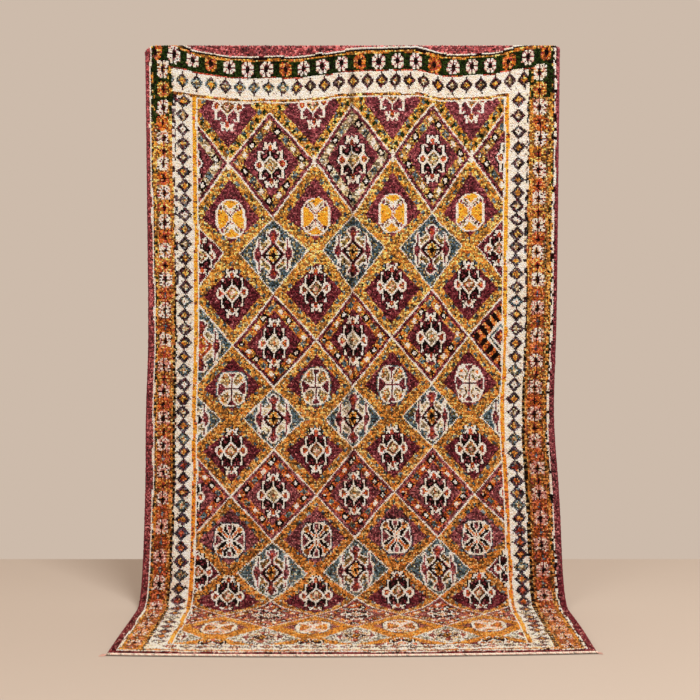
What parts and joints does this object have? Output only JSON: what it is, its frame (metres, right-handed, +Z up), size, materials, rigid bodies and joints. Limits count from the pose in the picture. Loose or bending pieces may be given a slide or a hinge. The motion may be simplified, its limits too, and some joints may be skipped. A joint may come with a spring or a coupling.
{
  "type": "hung boujad rug",
  "caption": "Hand-knotted wool rug with a lattice of diamonds and flower borders, hung from its folded top edge and swept forward onto the floor.",
  "frame": {"origin": "middle of the line under the top fold along which the cloth lies on its hidden bar", "axes": "+X across the rug to the right as it is looked at, +Y toward the wall behind it, +Z up; the pile faces -Y"},
  "size_m": [1.828, 0.9172, 2.3365],
  "materials": {
    "knotted_wool": "matt hand-knotted wool pile",
    "plaited_wool": "matt plaited wool"
  },
  "bodies": {
    "root": {"rug": "knotted_wool", "front_end_plait": "plaited_wool"}
  },
  "joints": []
}
